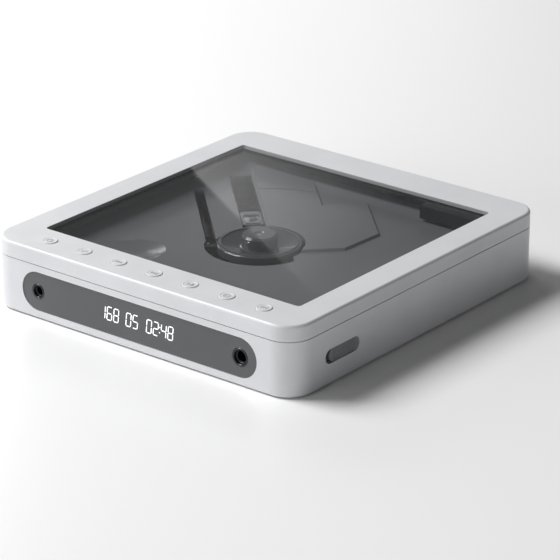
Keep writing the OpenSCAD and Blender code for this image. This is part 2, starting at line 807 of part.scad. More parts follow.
// Places a child at the three clamping balls, which stand 0.35 mm out of the hub
module at_balls() {
    translate([0, -spindle_front, seat_z + hub_h - ball_drop]) for (a = [30, 150, 270])
        rotate(a) translate([hub_r - ball_r + 0.35, 0, 0]) children();
}

// Turntable: narrow seat for the disc, dished inside, with a centring hub
module turntable() {
    ring_r = 15.4;
    ring_w = 0.6;
    well_z = seat_z - 1.9;
    hub_z = seat_z + hub_h;
    color("dimgray") difference() {
        translate([0, -spindle_front, 0]) rotate_extrude($fn = 96) polygon([
            [shaft_r, table_under_z], [table_r, table_under_z], [table_r, seat_z - 0.66],
            [table_r - 0.4, seat_z - 0.3], [ring_r + ring_w + 0.2, seat_z - 0.3],
            [ring_r + ring_w, seat_z], [ring_r, seat_z], [ring_r - 0.2, seat_z - 0.4],
            [hub_r + 0.5, well_z], [hub_r, well_z + 0.2],
            [hub_r, hub_z - 0.9], [hub_r - 0.9, hub_z], [2.2, hub_z], [1.8, hub_z - 0.4],
            [shaft_r, hub_z - 0.4]]);
        at_balls() rotate(180) sphere(r = ball_r + 0.04, $fn = 32);
    }
}

module motor_shaft() {
    color("silver") translate([0, -spindle_front, chassis_top_z + 0.5])
        cylinder(r = shaft_r, h = seat_z + hub_h - 0.5 - chassis_top_z - 0.5);
}

module clamp_balls() {
    color("silver") at_balls() sphere(r = ball_r, $fn = 32);
}

// Carriage of the laser pickup, with its sleeve on the rod and its saddle at the screw
module pickup_sled() {
    low_z = chassis_top_z + 0.35;
    color("dimgray") on_drive() translate([lens_x, 0, 0]) difference() {
        union() {
            box([-sled_half, -13, low_z], [sled_half, rod_y - 2, rod_z + 1.8]);
            translate([0, rod_y, rod_z]) bar_x(3, -sled_half, sled_half);
            box([-3, -rod_y - 0.6, rod_z - 2.6], [3, -12, rod_z + 2.4]);
            box([block_x1, -block_half, low_z], [block_x2, block_half, block_top_z]);
        }
        translate([0, rod_y, rod_z]) bar_x(rod_r + run_gap, -sled_half - 1, sled_half + 1);
        translate([0, -rod_y, rod_z]) bar_x(screw_r + 0.1, -sled_half, sled_half);
        box([-sled_half, -rod_y - 3, rod_z - 0.8], [sled_half, -rod_y, rod_z + 0.8]);
        // open space under the laser and on both sides of its block
        box([-5, -11, low_z - 1], [5, -5.5, rod_z + 3]);
        box([-5, 6, low_z - 1], [5, 14, rod_z + 3]);
    }
}

// Metal yoke of the lens drive, with a magnet block on both sides of the lens
module pickup_yoke() {
    hole_r = 3.7;
    color("silver") on_drive() translate([lens_x, 0, block_top_z]) difference() {
        union() {
            box([block_x1 + 0.3, 0.2 - block_half, 0], [block_x2 - 0.3, block_half - 0.2, 0.3]);
            box([block_x1 + 0.3, -3, 0], [block_x1 + 1.3, 3, 1]);
            box([hole_r + 0.3, -3.4, 0], [hole_r + 1.3, 3.4, 1]);
            box([hole_r + 2.3, -3.4, 0], [block_x2 - 1, 3.4, 0.8]);
        }
        translate([0, 0, -1]) cylinder(r = hole_r, h = 4);
    }
}

// Lens in its round holder
module pickup_lens() {
    color("slategray") on_drive() translate([lens_x, 0, block_top_z]) rotate_extrude(angle = 360)
        polygon([[0, 0], [3.6, 0], [3.6, 0.5], [2.6, 0.5], [2.2, 0.75], [1.2, 1], [0, 1.08]]);
}

function involute_angle(base, r) = sqrt((r / base) ^ 2 - 1) * 180 / PI - acos(base / r);

// Flat gear with involute teeth and a little play
module gear_flat(n, m) {
    pitch = m * n / 2;
    base = pitch * cos(20);
    tip = pitch + 0.85 * m;
    root = pitch - 1.1 * m;
    low = max(base, root);
    half = 90 / n - 0.03 * 180 / PI / pitch + involute_angle(base, pitch);
    steps = 4;
    flank = [for (i = [0:steps]) let (r = low + (tip - low) * i / steps)
             [r, half - involute_angle(base, r)]];
    tooth = concat([[root, -half]], [for (p = flank) [p[0], -p[1]]],
                   [for (i = [steps:-1:0]) flank[i]], [[root, half]]);
    polygon([for (k = [0:n - 1], p = tooth)
             [p[0] * cos(p[1] + 360 * k / n), p[0] * sin(p[1] + 360 * k / n)]]);
}

module feed_screw() {
    color("silver") on_drive() translate([0, -rod_y, rod_z])
        bar_x(screw_r, gear_x - 0.6, outer_bracket_x + bracket_t + 1);
}

module screw_gear() {
    color("ivory") on_drive() translate([gear_x, -rod_y, rod_z]) rotate([0, 90, 0])
        difference() {
            linear_extrude(gear_w) rotate(270) gear_flat(gear_n, gear_m);
            translate([0, 0, -1]) cylinder(r = screw_r, h = gear_w + 2);
        }
}

module motor_pinion() {
    color("goldenrod") on_drive() translate([0, pinion_y, rod_z]) {
        translate([gear_x, 0, 0]) rotate([0, 90, 0])
            linear_extrude(gear_w) rotate(90 + 180 / pinion_n) gear_flat(pinion_n, gear_m);
        bar_x(0.5, sled_motor_x - 7.5, gear_x + gear_w);
    }
}

// Bar inside the right wall: its nose holds the foot of the lid's hook
module latch_bar() {
    nose_y = hook_y - hook_foot + catch_reach;
    bar_y = nose_y - 3.6;
    color("dimgray") {
        difference() {
            box([hook_x - hook_w / 2, bar_y, catch_z], [arm_x - 1.1, nose_y, catch_z + catch_h]);
            box([hook_x + hook_w / 2 + 2, bar_y + 2.4, catch_z - 1],
                [arm_x - 3.4, nose_y + 1, catch_z + 2]);
        }
        box([arm_x - 2.6, bar_y, shelf_z + 0.15], [arm_x - 1.1, knob_y + knob_l / 2, catch_z + catch_h]);
    }
}

// Knob with fine ribs, on a wider plate behind the slot
module slide_knob() {
    out_x = half_w - 0.35;
    ribs = 13;
    color("gray") translate([0, knob_y, slide_z]) {
        difference() {
            facing_right(arm_x - 0.2, out_x) stadium(knob_l, knob_h);
            for (i = [0:ribs - 1]) translate([out_x, (i - (ribs - 1) / 2) * 1.05, 0])
                rotate([0, 0, 45]) translate([-0.25, -0.25, -knob_h]) cube([0.5, 0.5, 2 * knob_h]);
        }
        facing_right(arm_x - 1.1, arm_x) stadium(knob_l + 2, knob_h + 2);
    }
}

// Frame of the lid: white top with the window opening, skirt, key holes and knuckles
module lid_frame() {
    e = edge_r;
    color("whitesmoke") difference() {
        union() {
            difference() {
                union() {
                    slab(body_w, body_d, corner_r, lid_z, body_h - e);
                    slab(body_w - 2 * e, body_d - 2 * e, corner_r - e, body_h - e, body_h);
                    translate([0, 0, body_h - e])
                        rim_sweep(body_w - 2 * e, body_d - 2 * e, corner_r - e)
                            intersection() {
                                circle(e);
                                square(e);
                            }
                }
                slab(inner_w, inner_d, inner_r, lid_z - 1, lid_under_z);
            }
            // rail that stiffens the wall at the hinges
            box([-hinge_rail, half_d - wall - rail_w, lid_z],
                [hinge_rail, half_d - wall + 0.5, lid_under_z + 0.5]);
            for (s = [-1, 1]) translate([s * hinge_x, hinge_y, hinge_z])
                bar_x(knuckle_r, -knuckle_w / 2, knuckle_w / 2);
            at_key_bosses() translate([0, 0, key_board_top_z])
                cylinder(r = 2, h = lid_under_z - key_board_top_z + 0.5);
        }
        translate([0, window_y, 0]) slab(window_w, window_d, 1.5, lid_under_z - 1, body_h + 1);
        difference() {
            hinge_groove();
            for (s = [-1, 1]) translate([s * hinge_x, hinge_y, hinge_z])
                bar_x(knuckle_r, -knuckle_w / 2, knuckle_w / 2);
        }
        for (s = [-1, 1], t = [-1, 1]) knuckle_room(s * hinge_x + t * ear_mid, ear_w);
        for (s = [-1, 1]) hinge_bore(s * hinge_x);
        for (i = [0:key_n - 1]) translate([key_pos(i), key_y, lid_under_z - 1])
            cylinder(r = key_r + key_gap, h = wall + 2);
        at_key_bosses() translate([0, 0, key_board_top_z - 1]) cylinder(r = 0.7, h = 2.6);
    }
}

// Dark frame glued under the lid: flange, skirt round the well and ledge under the pane
module window_bezel() {
    lap = 2.6;
    flange_t = 1;
    color("black") translate([0, window_y, 0]) difference() {
        union() {
            slab(window_w + 2 * lap, window_d + 2 * lap, 4, lid_under_z - flange_t, lid_under_z);
            slab(window_w + 2 * skirt_out, window_d + 2 * skirt_out, 2.3, skirt_z, lid_under_z);
            slab(window_w - 0.2, window_d - 0.2, 1.4, lid_under_z - flange_t, ledge_z);
        }
        slab(window_w - 2 * ledge_w, window_d - 2 * ledge_w, 1, skirt_z - 1, body_h);
        // passage of the key cable into its cover
        translate([0, cable_y - window_y, 0])
            box([window_w / 2 - 3, -cable_half - 0.3, cable_z - 0.2],
                [window_w / 2 + lap + 1, cable_half + 0.3, cable_z + 0.5]);
    }
}

function key_pos(i) = key_x + (i - (key_n - 1) / 2) * key_pitch;
cable_half = 1.7;
cable_room = 1.2;
cable_z = ledge_z - 1.6;
cable_t = 0.2;
cover_x1 = window_w / 2 - 29.9;
cover_y1 = window_y + window_d / 2 - 7.6;
cable_y = cover_y1 + 3.2;
cover_z = deck_z + 1.3;

module at_key_bosses() {
    for (k = [-2.5, -0.5, 0.5, 2.5]) translate([key_x + k * key_pitch, key_y - 0.8, 0]) children();
}

module window_tape() {
    color("black") difference() {
        translate([0, window_y, 0])
            slab(window_w - 2 * pane_gap, window_d - 2 * pane_gap, 1.3, ledge_z, ledge_z + tape_t);
        translate([0, window_y, 0])
            slab(window_w - 2 * ledge_w, window_d - 2 * ledge_w, 1, ledge_z - 1, ledge_z + 1);
    }
}

module window() {
    color("dimgray", 0.6) translate([0, window_y, 0])
        slab(window_w - 2 * pane_gap, window_d - 2 * pane_gap, 1.3, ledge_z + tape_t, pane_top_z);
}

// Box at the back right, which hides the cable where it leaves the lid
module cable_cover() {
    x2 = window_w / 2 - ledge_w;
    y2 = window_y + window_d / 2 - ledge_w;
    color("black") difference() {
        intersection() {
            box([cover_x1, cover_y1, cover_z], [x2, y2, ledge_z - 0.1]);
            translate([0, window_y, 0])
                slab(window_w - 2 * ledge_w, window_d - 2 * ledge_w, 1, cover_z - 1, body_h);
        }
        box([cover_x1 + 1.2, cover_y1 + 1.2, cover_z + 1.2], [x2 - 1.2, y2 - 1.2, cable_z + 0.5]);
        box([x2 - 3, cable_y - cable_half - 0.3, cable_z - 0.2],
            [x2 + 1, cable_y + cable_half + 0.3, cable_z + 0.5]);
    }
}

// Flat cable from the key board to the hinge side
module key_cable() {
    x1 = window_w / 2 + skirt_out + cable_room;
    x2 = half_w - wall - cable_room;
    z = cable_z;
    end_x = key_x + key_board_w / 2 - 3.4;
    color("sandybrown") {
        box([x1, key_y + 3, z], [x2, cable_y + cable_half, z + cable_t]);
        box([end_x, key_y - 2, z], [x2, key_y + 3 + eps, z + cable_t]);
        box([end_x, key_y - 2, key_board_top_z], [end_x + cable_t, key_y + 3, z + cable_t]);
        box([cover_x1 + 14, cable_y - cable_half, z], [x1 + eps, cable_y + cable_half, z + cable_t]);
    }
}

module lid_hook() {
    x1 = hook_x - hook_w / 2;
    color("black") translate([x1, hook_y, 0]) rotate([90, 0, 90]) linear_extrude(hook_w) polygon([
        [0, ledge_z - 0.3], [hook_t, ledge_z - 0.3], [hook_t, hook_foot_z - 0.4],
        [0, hook_foot_z - 0.4], [-hook_foot, hook_foot_z + 0.7],
        [-hook_foot, hook_foot_z + hook_foot_h], [0, hook_foot_z + hook_foot_h]]);
}

// Board with a dome switch under each key
module key_board() {
    z = key_board_top_z - key_board_t;
    color("darkgreen") difference() {
        union() {
            box([key_x - key_board_w / 2, key_y - 4.5, z],
                [key_x + key_board_w / 2, key_y + 3.6, key_board_top_z]);
            for (i = [0:key_n - 1]) translate([key_pos(i), key_y, key_board_top_z - eps])
                cylinder(r = 2.2, h = switch_h + eps);
        }
        at_key_bosses() translate([0, 0, z - 1]) cylinder(r = 0.85, h = 3);
    }
}

module key_board_screws() {
    z = key_board_top_z - key_board_t;
    color("silver") at_key_bosses() {
        translate([0, 0, z - 0.7]) cylinder(r = 1.5, h = 0.7);
        translate([0, 0, z - eps]) cylinder(r = 0.7, h = 2.1);
    }
}

// One key: round cap with a soft edge, a flange that keeps it in, and a nub for its switch
module key(i) {
    z1 = lid_under_z - 0.05;
    top = body_h + key_proud;
    color("whitesmoke") translate([key_pos(i), key_y, 0]) rotate_extrude() polygon([
        [0, key_nub_z], [1.2, key_nub_z], [1.2, z1 - key_flange_t], [key_r + 0.9, z1 - key_flange_t],
        [key_r + 0.9, z1], [key_r, z1], [key_r, top - 0.25], [key_r - 0.08, top - 0.1],
        [key_r - 0.25, top], [key_r - 0.45, top], [key_r - 0.6, top - key_dish], [0, top - key_dish]]);
}

bottom_case();
rubber_feet();
case_screws();
deck();
hinge_pins();
front_panel();
display_module();
display_board();
main_board();
small_jack();
small_jack_ring();
large_jack();
large_jack_ring();
battery();
usb_inlet();
usb_board();
drive_chassis();
damper_grommets();
damper_screws();
guide_rod();
spindle_motor();
sled_motor();
turntable();
motor_shaft();
clamp_balls();
pickup_sled();
pickup_yoke();
pickup_lens();
feed_screw();
screw_gear();
motor_pinion();
latch_bar();
slide_knob();
lid_frame();
window_bezel();
window_tape();
window();
cable_cover();
key_cable();
lid_hook();
key_board();
key_board_screws();
key(0);  // key_1
key(1);  // key_2
key(2);  // key_3
key(3);  // key_4
key(4);  // key_5
key(5);  // key_6
key(6);  // key_7
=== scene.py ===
"""A flat disc player with a windowed lid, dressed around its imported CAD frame. Metres."""
import math

import bmesh
import bpy
from mathutils import Matrix, Vector


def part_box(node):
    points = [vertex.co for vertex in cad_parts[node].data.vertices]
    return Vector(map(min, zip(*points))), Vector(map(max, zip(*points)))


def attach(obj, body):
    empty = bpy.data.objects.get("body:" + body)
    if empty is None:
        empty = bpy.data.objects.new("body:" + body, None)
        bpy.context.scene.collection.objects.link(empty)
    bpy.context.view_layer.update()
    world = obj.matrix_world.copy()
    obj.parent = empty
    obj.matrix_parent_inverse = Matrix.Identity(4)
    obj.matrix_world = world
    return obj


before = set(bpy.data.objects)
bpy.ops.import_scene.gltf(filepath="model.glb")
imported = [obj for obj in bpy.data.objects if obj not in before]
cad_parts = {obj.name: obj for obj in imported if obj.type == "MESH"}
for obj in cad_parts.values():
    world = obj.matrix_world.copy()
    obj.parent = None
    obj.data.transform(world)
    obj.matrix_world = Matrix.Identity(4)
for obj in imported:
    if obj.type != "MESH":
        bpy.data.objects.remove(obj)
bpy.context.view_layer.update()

# Case: bottom shell and lid frame, each moulded in one piece from white ABS. The moulds were
# spark-eroded to a fine satin grain, so that the faces show a soft sheen and no sharp reflection.
MM = 0.001


def linear(code):
    """An sRGB hex colour as linear RGBA."""
    parts = [int(code[i:i + 2], 16) / 255 for i in (1, 3, 5)]
    return tuple(c / 12.92 if c <= 0.04045 else ((c + 0.055) / 1.055) ** 2.4 for c in parts) + (1,)


def add(tree, kind, inputs=None, **settings):
    """Adds a node; an input is a value, or the socket that it is linked to."""
    node = tree.nodes.new(kind)
    for key, value in settings.items():
        setattr(node, key, value)
    for key, value in (inputs or {}).items():
        if isinstance(value, bpy.types.NodeSocket):
            tree.links.new(value, node.inputs[key])
        else:
            node.inputs[key].default_value = value
    return node


def finish(name, colour, roughness, metallic=0.0, **sockets):
    """A new material with plain values on its shader; gives back material, tree and shader."""
    made = bpy.data.materials.new(name)
    made.use_nodes = True
    shader = made.node_tree.nodes["Principled BSDF"]
    shader.inputs["Base Color"].default_value = linear(colour)
    shader.inputs["Roughness"].default_value = roughness
    shader.inputs["Metallic"].default_value = metallic
    for key, value in sockets.items():
        shader.inputs[key.replace("_", " ")].default_value = value
    made.diffuse_color = linear(colour)
    return made, made.node_tree, shader


def grain(tree, shader, size_mm, height_mm):
    """A fine, even surface grain of a real size, as bump; gives back the place on the piece."""
    place = add(tree, "ShaderNodeTexCoord").outputs["Object"]
    noise = add(tree, "ShaderNodeTexNoise", {"Vector": place, "Scale": 1 / (size_mm * MM),
                                             "Detail": 2.0})
    bump = add(tree, "ShaderNodeBump", {"Height": noise.outputs["Fac"], "Strength": 1.0,
                                        "Distance": height_mm * MM})
    tree.links.new(bump.outputs["Normal"], shader.inputs["Normal"])
    return place


def speckle(tree, shader, place, dark, light, size_mm):
    """A cloudy change of colour between two close tones, as large as it is on the real piece."""
    cloud = add(tree, "ShaderNodeTexNoise", {"Vector": place, "Scale": 1 / (size_mm * MM),
                                             "Detail": 3.0})
    ramp = add(tree, "ShaderNodeValToRGB", {"Fac": cloud.outputs["Fac"]})
    ramp.color_ramp.elements[0].color = linear(dark)
    ramp.color_ramp.elements[1].color = linear(light)
    ramp.color_ramp.elements[0].position = 0.3
    ramp.color_ramp.elements[1].position = 0.7
    tree.links.new(ramp.outputs["Color"], shader.inputs["Base Color"])


def wear(material, *pieces):
    """Gives its material to each CAD node, by name, or to a new piece."""
    for piece in pieces:
        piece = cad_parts[piece] if isinstance(piece, str) else piece
        piece.data.materials.clear()
        piece.data.materials.append(material)


abs_white, tree, shader = finish("satin_moulded_abs", "#D6D7DA", 0.36, IOR=1.53)
place = grain(tree, shader, size_mm=0.35, height_mm=0.004)
speckle(tree, shader, place, "#D3D4D7", "#D9DADD", size_mm=18)
wear(abs_white, "bottom_case", "lid_frame")

# Feet and dampers: four rubber discs pressed into round pockets of the underside, and the four
# soft rings that carry the drive. Moulded styrene rubber, dull black with a slightly dusty face.
rubber, tree, shader = finish("moulded_rubber", "#1B1B1C", 0.72)
place = grain(tree, shader, size_mm=0.5, height_mm=0.01)
speckle(tree, shader, place, "#161617", "#232324", size_mm=3)
wear(rubber, "rubber_feet", "damper_grommets")

# Screws: steel screws of the case, the drive and the key board, turned and then zinc-plated. The
# plating is bright, with a faint blue cast and fine turning marks.
zinc, tree, shader = finish("zinc_plated_steel", "#B9BCC2", 0.28, metallic=1.0)
grain(tree, shader, size_mm=0.2, height_mm=0.003)
wear(zinc, "case_screws", "damper_screws", "key_board_screws")

# Deck: the moulded well under the disc, in grey ABS from a polished mould. It is glossy, so that
# its curved rim, the scoop and the edge of the drive cover catch long highlights.
abs_grey, tree, shader = finish("polished_grey_abs", "#7B7E82", 0.22, IOR=1.53)
place = grain(tree, shader, size_mm=6.0, height_mm=0.004)
speckle(tree, shader, place, "#787B7F", "#7E8185", size_mm=30)
wear(abs_grey, "deck")

# Hinge: two pins pushed into the knuckles of case and lid. Stainless steel, ground to size, which
# leaves it mirror-like with fine lines round the pin.
ground_steel, tree, shader = finish("ground_stainless_steel", "#B5B6B8", 0.16, metallic=1.0)
grain(tree, shader, size_mm=0.15, height_mm=0.002)
wear(ground_steel, "hinge_pins")

# Front panel: a clear acrylic strip, printed dark grey from behind and glued into its recess. The
# print lies under a deep polished face with sharp reflections.
acrylic_dark, tree, shader = finish("back_printed_acrylic", "#3C3D42", 0.06, IOR=1.49,
                                    Coat_Weight=1.0, Coat_Roughness=0.02)
place = add(tree, "ShaderNodeTexCoord").outputs["Object"]
speckle(tree, shader, place, "#3A3B40", "#3F4045", size_mm=25)
wear(acrylic_dark, "front_panel")

# Display: numbers of seven strokes that light up white behind the panel. Each stroke is a small
# light guide with pointed ends; the strokes lean a little to the right.
DIGIT_H = 6.0 * MM
DIGIT_W = 2.85 * MM
DIGIT_PITCH = 3.45 * MM
STROKE = 0.45 * MM
STROKE_SHORT = 0.12 * MM
STROKE_DEEP = 0.03 * MM
STROKE_SUNK = 0.01 * MM
LEAN = 0.1
DISPLAY_Z = 12.5 * MM
COLON_X = 11.75 * MM
COLON_RISE = 1.1 * MM
DOT_HALF = 0.26 * MM
GROUPS = (("168", -18.9 * MM), ("05", -5.6 * MM), ("02", 4.9 * MM), ("48", 12.3 * MM))
STROKES = {"0": "abcdef", "1": "bc", "2": "abged", "3": "abgcd", "4": "fgbc", "5": "afgcd",
           "6": "afgecd", "7": "abc", "8": "abcdefg", "9": "abcdfg"}


def stroke_outline(a, b, width):
    """A flat stroke from a to b with pointed ends, a little short of both."""
    along = (b - a).normalized()
    side = Vector((-along.y, along.x)) * width / 2
    a, b = a + along * STROKE_SHORT, b - along * STROKE_SHORT
    tip = along * width / 2
    return [a, a + tip - side, b - tip - side, b, b - tip + side, a + tip + side]


def digit_outlines(character, x):
    """The strokes of one number, in the panel's plane."""
    w, h = DIGIT_W / 2 - STROKE / 2, DIGIT_H / 2 - STROKE / 2
    ends = {"a": ((-w, h), (w, h)), "b": ((w, h), (w, 0)), "c": ((w, 0), (w, -h)),
            "d": ((-w, -h), (w, -h)), "e": ((-w, 0), (-w, -h)), "f": ((-w, h), (-w, 0)),
            "g": ((-w, 0), (w, 0))}
    made = []
    for key in STROKES[character]:
        points = stroke_outline(Vector(ends[key][0]), Vector(ends[key][1]), STROKE)
        made.append([Vector((x + p.x + LEAN * p.y, p.y)) for p in points])
    return made


def plates(name, outlines, to_space, thickness):
    """One piece of flat plates: to_space puts a point of an outline on the real piece, and
    thickness is the way from each plate's first face to its second."""
    mesh = bmesh.new()
    for outline in outlines:
        low = [mesh.verts.new(to_space(p)) for p in outline]
        high = [mesh.verts.new(v.co + thickness) for v in low]
        n = len(outline)
        mesh.faces.new(low[::-1])
        mesh.faces.new(high)
        for i in range(n):
            mesh.faces.new((low[i], low[(i + 1) % n], high[(i + 1) % n], high[i]))
    bmesh.ops.recalc_face_normals(mesh, faces=mesh.faces)
    data = bpy.data.meshes.new(name)
    mesh.to_mesh(data)
    mesh.free()
    made = bpy.data.objects.new(name, data)
    bpy.context.scene.collection.objects.link(made)
    return made


outlines = []
for numbers, left in GROUPS:
    for i, character in enumerate(numbers):
        outlines += digit_outlines(character, left + DIGIT_W / 2 + i * DIGIT_PITCH)
for z in (-COLON_RISE, COLON_RISE):
    outlines.append([Vector((COLON_X + LEAN * z + s * DOT_HALF, z + t * DOT_HALF))
                     for s, t in ((-1, -1), (1, -1), (1, 1), (-1, 1))])
panel_face_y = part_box("front_panel")[0].y
digits = plates("display_digits", outlines,
                lambda p: Vector((p.x, panel_face_y + STROKE_SUNK, DISPLAY_Z + p.y)),
                Vector((0, -STROKE_DEEP, 0)))
digit_white, tree, shader = finish("lit_display_stroke", "#F4F6F8", 0.3,
                                   Emission_Color=linear("#F4F6F8"), Emission_Strength=0.75)
place = add(tree, "ShaderNodeTexCoord").outputs["Object"]
speckle(tree, shader, place, "#EEF1F3", "#FAFBFC", size_mm=2)
wear(digit_white, digits)
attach(digits, "base")

# Electronics: display module of cast black epoxy, which is smooth and half dull, a battery wrapped
# in blue-grey foil with soft creases, and the boards. They are glass fibre under a glossy green
# solder mask, through which the copper tracks show as paler lines.
TRACK_FIELD_MM = 20 / 9
epoxy, tree, shader = finish("black_epoxy", "#101011", 0.4)
grain(tree, shader, size_mm=0.4, height_mm=0.006)
wear(epoxy, "display_module")

solder_mask, tree, shader = finish("green_solder_mask", "#0F3B26", 0.32)
place = grain(tree, shader, size_mm=0.6, height_mm=0.01)
cells = add(tree, "ShaderNodeTexVoronoi", {"Vector": place, "Scale": 1 / (TRACK_FIELD_MM * MM)},
            feature="DISTANCE_TO_EDGE")
ramp = add(tree, "ShaderNodeValToRGB", {"Fac": cells.outputs["Distance"]})
track, bare = ramp.color_ramp.elements
track.color, bare.color = linear("#2C6B45"), linear("#0F3B26")
track.position, bare.position = 0.04, 0.07
tree.links.new(ramp.outputs["Color"], shader.inputs["Base Color"])
wear(solder_mask, "display_board", "main_board", "usb_board", "key_board")

foil, tree, shader = finish("battery_foil_wrap", "#5C6C7C", 0.35, metallic=0.6)
grain(tree, shader, size_mm=4.0, height_mm=0.08)
wear(foil, "battery")

# Sockets: two headphone sockets moulded in black PBT, which is dull inside the bore, behind turned
# rings plated in dark nickel with a soft shine, and the oval power inlet of folded steel.
pbt_black, tree, shader = finish("black_moulded_pbt", "#0C0C0D", 0.5)
grain(tree, shader, size_mm=0.3, height_mm=0.006)
wear(pbt_black, "small_jack", "large_jack")
dark_nickel, tree, shader = finish("dark_nickel_plate", "#3D3F43", 0.3, metallic=1.0)
grain(tree, shader, size_mm=0.2, height_mm=0.003)
wear(dark_nickel, "small_jack_ring", "large_jack_ring")
wear(ground_steel, "usb_inlet")

# Drive: a chassis moulded in glass-filled black plastic, which shows pale flecks, with two motors
# in zinc-plated cans, a ground guide rod and the pickup's sled. It is screwed down on its dampers
# and seen through the slots and the round opening of the deck.
filled_black, tree, shader = finish("glass_filled_black", "#2A2B2D", 0.42)
place = grain(tree, shader, size_mm=0.5, height_mm=0.012)
speckle(tree, shader, place, "#27282A", "#303133", size_mm=1.5)
wear(filled_black, "drive_chassis", "pickup_sled")
wear(zinc, "spindle_motor", "sled_motor")
wear(ground_steel, "guide_rod", "motor_shaft")

# Turntable: moulded in dark grey ABS with a sunk ring and a centring hub, pressed on the motor's
# shaft. It is glossy; the three sprung balls of the hub are polished bearing steel and mirror all.
table_grey, tree, shader = finish("polished_dark_abs", "#4E5155", 0.18, IOR=1.53)
place = grain(tree, shader, size_mm=3.0, height_mm=0.003)
speckle(tree, shader, place, "#4B4E52", "#535659", size_mm=12)
wear(table_grey, "turntable")
ball_steel, tree, shader = finish("polished_bearing_steel", "#CBCCCE", 0.08, metallic=1.0)
grain(tree, shader, size_mm=0.3, height_mm=0.001)
wear(ball_steel, "clamp_balls")

# Pickup: the lens is a drop of clear plastic with a faint blue coating, in its holder. The yoke
# and the magnets round it are stamped steel with a dull nickel plating.
lens_blue, tree, shader = finish("coated_lens", "#2B3140", 0.03, IOR=1.55, Coat_Weight=1.0)
place = add(tree, "ShaderNodeTexCoord").outputs["Object"]
speckle(tree, shader, place, "#282E3E", "#323949", size_mm=2)
wear(lens_blue, "pickup_lens")
dull_nickel, tree, shader = finish("dull_nickel_plate", "#A7A9AB", 0.3, metallic=1.0)
grain(tree, shader, size_mm=0.3, height_mm=0.006)
wear(dull_nickel, "pickup_yoke")

# Feed: a ground steel screw with a moulded acetal gear, ivory and waxy, and the motor's pinion cut
# from brass, bright with fine marks across the teeth.
acetal, tree, shader = finish("ivory_acetal", "#DAD5C6", 0.38)
grain(tree, shader, size_mm=0.5, height_mm=0.004)
wear(acetal, "screw_gear")
brass, tree, shader = finish("cut_brass", "#C9A227", 0.24, metallic=1.0)
grain(tree, shader, size_mm=0.2, height_mm=0.003)
wear(brass, "motor_pinion")
wear(ground_steel, "feed_screw")

# Window: a smoked acrylic pane, polished so that it mirrors the lights, on a ring of black foam
# tape. The frame glued under the lid and the box that hides the cable are glossy black ABS.
smoked, tree, shader = finish("smoked_acrylic_pane", "#2B2C2E", 0.02, IOR=1.49, Alpha=0.2,
                              Coat_Weight=1.0, Coat_Roughness=0.01)
place = add(tree, "ShaderNodeTexCoord").outputs["Object"]
speckle(tree, shader, place, "#292A2C", "#2E2F31", size_mm=60)
wear(smoked, "window")
tape, tree, shader = finish("black_foam_tape", "#0E0E0F", 0.8)
grain(tree, shader, size_mm=0.4, height_mm=0.02)
wear(tape, "window_tape")
cover_black, tree, shader = finish("polished_black_abs", "#1D1E20", 0.2)
grain(tree, shader, size_mm=3.0, height_mm=0.003)
wear(cover_black, "cable_cover", "window_bezel")

# Key cable: flat copper tracks between two layers of amber polyimide film. The tracks are drawn
# coarser than the real ones, so that they show. The Wave texture's bands lie WAVE / scale apart.
WAVE = math.pi / 10
TRACK_PITCH_MM = 1.257
film, tree, shader = finish("polyimide_film", "#9A5A1E", 0.3)
place = add(tree, "ShaderNodeTexCoord").outputs["Object"]
bands = add(tree, "ShaderNodeTexWave", {"Vector": place, "Scale": WAVE / (TRACK_PITCH_MM * MM)},
            wave_type="BANDS")
ramp = add(tree, "ShaderNodeValToRGB", {"Fac": bands.outputs["Fac"]})
film_only, over_copper = ramp.color_ramp.elements
film_only.color, over_copper.color = linear("#8A4E18"), linear("#B06F2E")
tree.links.new(ramp.outputs["Color"], shader.inputs["Base Color"])
wear(film, "key_cable")

# Release: the lid's hook and the latch bar are moulded like the drive's chassis, and the knob that
# is pushed on the bar in grey ABS. Two sets of fine ridges, cut into the knob's mould, cross on
# its face at a slant and give a dull mesh to grip.
RIDGE_PITCH_MM = 0.698
RIDGE_MM = 0.12
RIDGE_TURN = 0.8
knob_grey, tree, shader = finish("grip_textured_abs", "#85888C", 0.5)
place = add(tree, "ShaderNodeTexCoord").outputs["Object"]
ridges = []
for turn in (RIDGE_TURN, -RIDGE_TURN):
    slant = add(tree, "ShaderNodeMapping", {"Vector": place, "Rotation": (turn, 0, 0)})
    ridges.append(add(tree, "ShaderNodeTexWave",
                      {"Vector": slant.outputs["Vector"], "Scale": WAVE / (RIDGE_PITCH_MM * MM)},
                      bands_direction="Y"))
crossed = add(tree, "ShaderNodeMath", {0: ridges[0].outputs["Fac"], 1: ridges[1].outputs["Fac"]},
              operation="MINIMUM")
bump = add(tree, "ShaderNodeBump", {"Height": crossed.outputs[0], "Strength": 1.0,
                                    "Distance": RIDGE_MM * MM})
tree.links.new(bump.outputs["Normal"], shader.inputs["Normal"])
wear(knob_grey, "slide_knob")
wear(filled_black, "latch_bar", "lid_hook")

# Keys: seven round caps in the lid's own ABS, sprung on the key board. Each has a raised sign for
# what it does in the cap's shallow dish, printed in light grey. The signs are drawn in
# millimetres from the middle of the cap.
KEYS = 7
LINE = 0.28
RING = 1.25
HEAD = 1.2
SIGN_SUNK = 0.11 * MM
SIGN_HIGH = 0.1 * MM
wear(abs_white, *[f"key_{i}" for i in range(1, KEYS + 1)])


def ring(start, end, steps=24):
    """A ring or a part of it, from one angle to the other in degrees, as short plates."""
    made = []
    for i in range(steps):
        a, b = (math.radians(start + (end - start) * k / steps) for k in (i, i + 1))
        made.append([Vector((r * math.cos(t), r * math.sin(t))) for r, t in
                     ((RING - LINE / 2, a), (RING + LINE / 2, a),
                      (RING + LINE / 2, b), (RING - LINE / 2, b))])
    return made


